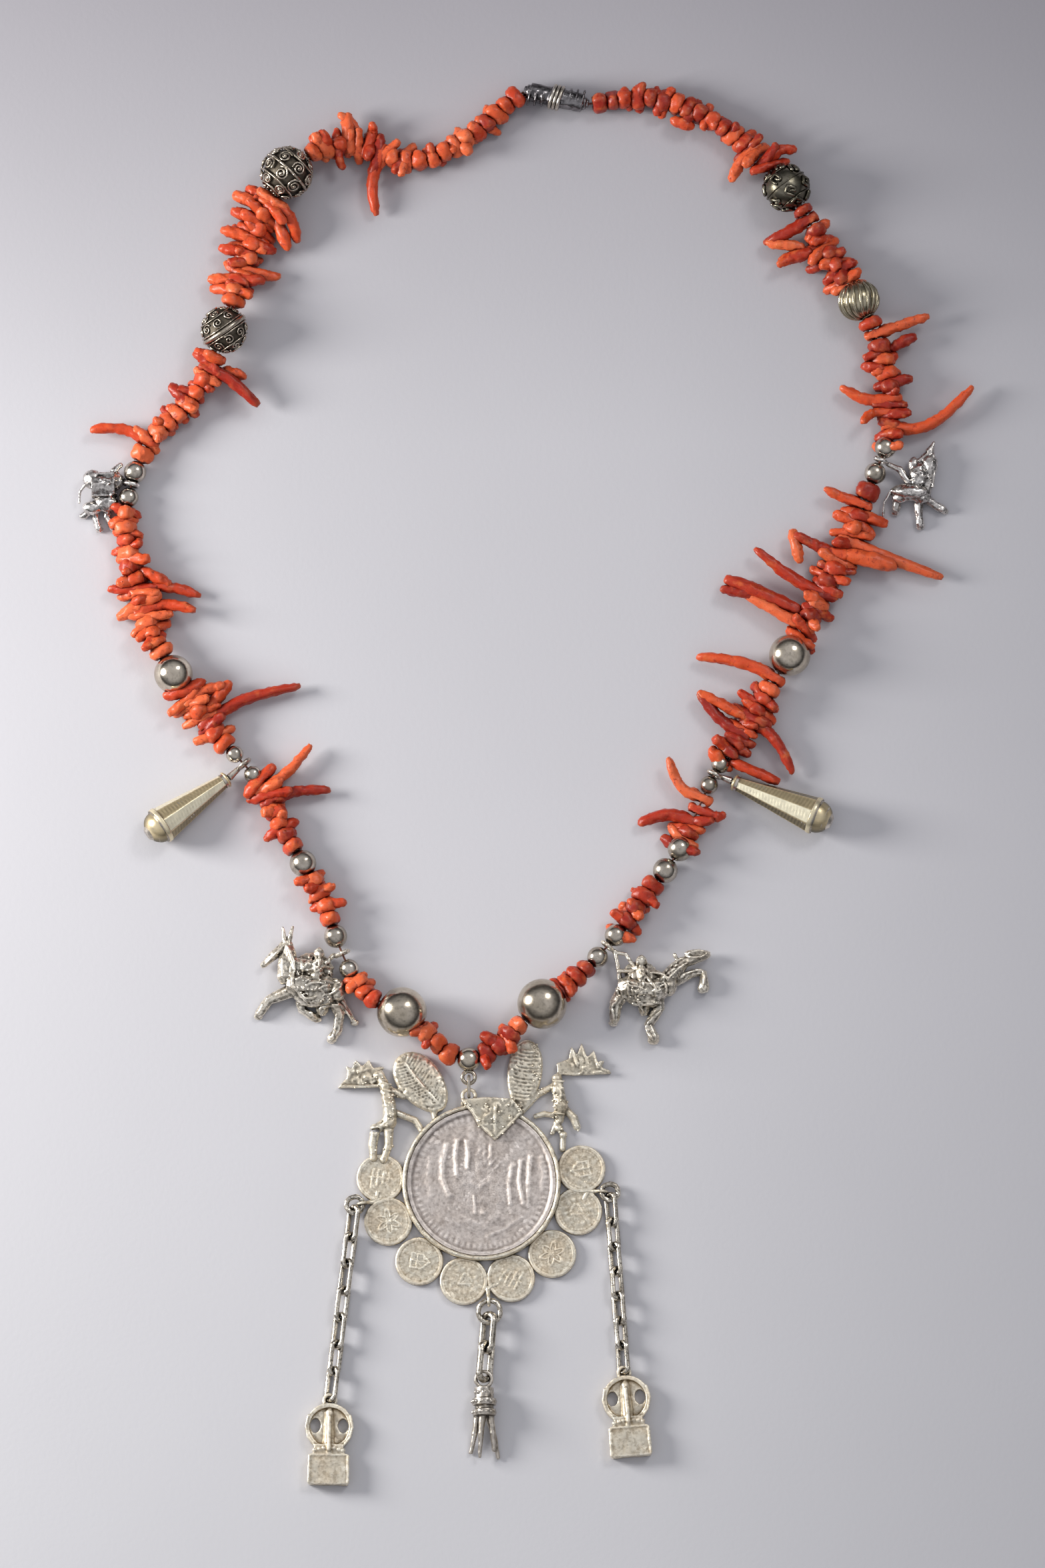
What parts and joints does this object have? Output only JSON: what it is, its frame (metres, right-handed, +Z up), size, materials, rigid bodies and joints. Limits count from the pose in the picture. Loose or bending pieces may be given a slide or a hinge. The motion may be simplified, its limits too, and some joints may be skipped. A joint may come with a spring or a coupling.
{
  "type": "coral branch necklace",
  "caption": "Branch coral necklace with silver beads, small cast horse charms, cone drops and a coin medallion with chains, lying flat as an open loop.",
  "frame": {"origin": "centre of the bounding box seen from above, on the surface it lies on", "axes": "+Z up from the surface, +Y from the medallion towards the clasp, +X to the right of a viewer who stands at the medallion's end"},
  "size_m": [0.2152, 0.3416, 0.013],
  "materials": {
    "coral": "satin",
    "silver": "satin",
    "coin_silver": "satin",
    "dark_silver": "satin",
    "dark_metal": "satin",
    "thread": "matte"
  },
  "bodies": {
    "root": {"thread": "thread", "clasp": "dark_metal", "coral_left": "coral", "coral_right": "coral", "bead_filigree": "dark_silver", "bead_seamed": "dark_silver", "horse_beads_left": "silver", "bead_round_left": "silver", "cone_beads_left": "silver", "bead_medium_left": "silver", "rider_beads_left": "silver", "bead_large_left": "silver", "centre_bead": "silver", "bead_large_right": "silver", "rider_beads_right": "silver", "beads_medium_right": "silver", "cone_beads_right": "silver", "bead_round_right": "silver", "horse_beads_right": "silver", "bead_ribbed": "dark_silver", "bead_scroll": "dark_silver", "small_horse_left": "silver", "small_horse_right": "silver", "horse_rider_left": "silver", "horse_rider_right": "silver", "cone_drop_left": "silver", "cone_drop_right": "silver", "bail_link": "silver", "medallion_setting": "silver", "medal": "coin_silver", "chain_left": "silver", "chain_right": "silver", "chain_centre": "silver", "pendant_left": "silver", "pendant_right": "silver", "pendant_centre": "silver"}
  },
  "joints": []
}
